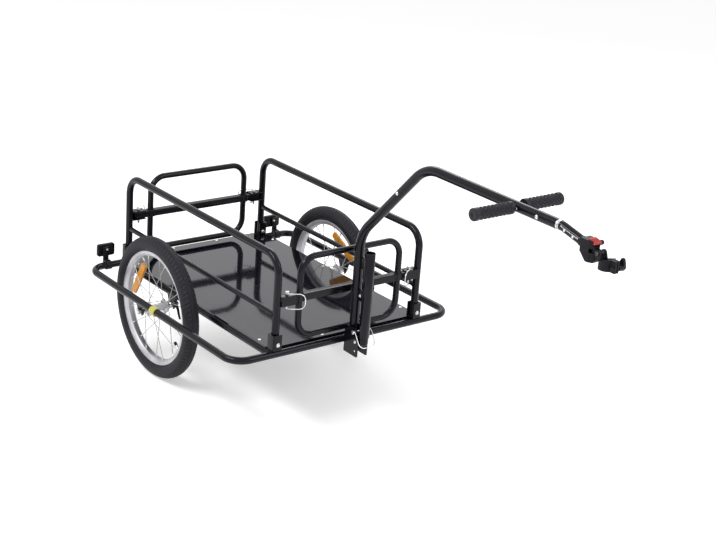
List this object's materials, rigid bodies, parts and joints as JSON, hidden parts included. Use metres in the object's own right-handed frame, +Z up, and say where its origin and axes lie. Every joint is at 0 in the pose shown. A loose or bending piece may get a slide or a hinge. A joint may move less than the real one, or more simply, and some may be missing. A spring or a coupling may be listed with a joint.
{
  "type": "bike cargo trailer",
  "caption": "Tube-framed bicycle cargo trailer with spoked wheels, folding sides, lift-out gates, bent tow arm with handlebar, parking leg and seat-post hitch.",
  "frame": {"origin": "bottom centre of the whole trailer's bounding box, on the ground", "axes": "+X forward towards the hitch, +Y to the left wheel, +Z up"},
  "size_m": [1.6657, 0.741, 0.7826],
  "materials": {
    "black_enamel": "semi-gloss black enamel",
    "floor_gloss": "glossy black board",
    "zinc": "bright zinc plate",
    "polished_alloy": "polished",
    "tyre_rubber": "matt black tread",
    "grip_rubber": "matt textured",
    "black_plastic": "satin moulded",
    "red_plastic": "satin red",
    "amber_plastic": "clear amber prisms",
    "lime_plastic": "lime"
  },
  "bodies": {
    "trailer": {"arm_collar": "zinc", "axle_left": "zinc", "axle_right": "zinc", "base_ring": "black_enamel", "coupler_body": "black_plastic", "cross_tube_front": "black_enamel", "cross_tube_rear": "black_enamel", "drawbar_stem": "black_enamel", "floor_panel": "floor_gloss", "foot_bracket": "black_enamel", "foot_pin": "zinc", "front_gate": "black_enamel", "gate_pin_front_left": "zinc", "gate_pin_front_right": "zinc", "gate_pin_rear_left": "zinc", "gate_pin_rear_right": "zinc", "grip_left": "grip_rubber", "grip_right": "grip_rubber", "handlebar": "zinc", "inner_rail_left": "black_enamel", "inner_rail_right": "black_enamel", "leg_sleeve": "black_enamel", "pivot_bolt_front_left": "zinc", "pivot_bolt_front_right": "zinc", "pivot_bolt_rear_left": "zinc", "pivot_bolt_rear_right": "zinc", "post_bracket_front_left": "black_enamel", "post_bracket_front_right": "black_enamel", "post_bracket_rear_left": "black_enamel", "post_bracket_rear_right": "black_enamel", "rear_gate": "black_enamel", "rear_reflector_left": "black_plastic", "rear_reflector_right": "black_plastic", "side_frame_left": "black_enamel", "side_frame_right": "black_enamel", "skewer_left": "zinc", "skewer_right": "zinc", "sleeve_bolt": "zinc", "tow_arm": "black_enamel", "tube_sleeve_left": "lime_plastic", "tube_sleeve_right": "lime_plastic"},
    "right_wheel": {"tyre_right": "tyre_rubber", "wheel_right": "polished_alloy", "spoke_reflector_right": "amber_plastic"},
    "left_wheel": {"tyre_left": "tyre_rubber", "wheel_left": "polished_alloy", "spoke_reflector_left": "amber_plastic"},
    "right_lever": {"quick_release_lever_right": "black_plastic"},
    "left_lever": {"quick_release_lever_left": "black_plastic"},
    "front_right_bail": {"gate_bail_front_right": "zinc"},
    "front_left_bail": {"gate_bail_front_left": "zinc"},
    "rear_right_bail": {"gate_bail_rear_right": "zinc"},
    "rear_left_bail": {"gate_bail_rear_left": "zinc"},
    "arm_bail": {"foot_bail": "zinc"},
    "leg": {"parking_leg": "black_enamel"},
    "button": {"release_button": "red_plastic"},
    "swivel": {"swivel_yoke": "black_plastic"},
    "clamp": {"seatpost_clamp": "black_plastic", "hitch_pin": "zinc"},
    "knob": {"clamp_knob": "black_plastic"}
  },
  "joints": [
    {"name": "right_wheel_spin", "type": "hinge", "parent": "trailer", "child": "right_wheel", "pos_m": [-0.52125, -0.3, 0.2], "axis": [0, 1, 0], "continuous": true},
    {"name": "left_wheel_spin", "type": "hinge", "parent": "trailer", "child": "left_wheel", "pos_m": [-0.52125, 0.3, 0.2], "axis": [0, 1, 0], "continuous": true},
    {"name": "right_lever_open", "type": "hinge", "parent": "trailer", "child": "right_lever", "pos_m": [-0.52125, -0.2382, 0.2], "axis": [0.866, 0, 0.5], "range_deg": [0, 150]},
    {"name": "left_lever_open", "type": "hinge", "parent": "trailer", "child": "left_lever", "pos_m": [-0.52125, 0.2382, 0.2], "axis": [-0.866, 0, -0.5], "range_deg": [0, 150]},
    {"name": "leg_slide", "type": "slide", "parent": "trailer", "child": "leg", "axis": [0, 0, 1], "range_m": [-0.2, 0]},
    {"name": "button_press", "type": "slide", "parent": "trailer", "child": "button", "axis": [0, 0, -1], "range_m": [0, 0.003], "stiffness_N_per_m": 600},
    {"name": "hitch_yaw", "type": "hinge", "parent": "trailer", "child": "swivel", "pos_m": [0.76375, 0, 0.741], "axis": [0, 0, 1], "range_deg": [-60, 60]},
    {"name": "hitch_pitch", "type": "hinge", "parent": "swivel", "child": "clamp", "pos_m": [0.78275, 0, 0.741], "axis": [0, 1, 0], "range_deg": [-20, 15]},
    {"name": "knob_turn", "type": "hinge", "parent": "clamp", "child": "knob", "pos_m": [0.82675, 0, 0.72], "axis": [0, 1, 0], "continuous": true},
    {"name": "arm_bail_swing", "type": "hinge", "parent": "trailer", "child": "arm_bail", "pos_m": [0.00205, -0.0221, 0.266], "axis": [-0.829, 0, -0.5592], "range_deg": [0, 100]},
    {"name": "front_right_bail_swing", "type": "hinge", "parent": "trailer", "child": "front_right_bail", "pos_m": [-0.05475, -0.201, 0.3901], "axis": [0.866, -0.5, 0], "range_deg": [0, 100]},
    {"name": "front_left_bail_swing", "type": "hinge", "parent": "trailer", "child": "front_left_bail", "pos_m": [-0.05475, 0.201, 0.3901], "axis": [-0.866, -0.5, 0], "range_deg": [0, 100]},
    {"name": "rear_right_bail_swing", "type": "hinge", "parent": "trailer", "child": "rear_right_bail", "pos_m": [-0.79875, -0.201, 0.3901], "axis": [0.866, 0.5, 0], "range_deg": [0, 100]},
    {"name": "rear_left_bail_swing", "type": "hinge", "parent": "trailer", "child": "rear_left_bail", "pos_m": [-0.79875, 0.201, 0.3901], "axis": [-0.866, 0.5, 0], "range_deg": [0, 100]}
  ]
}
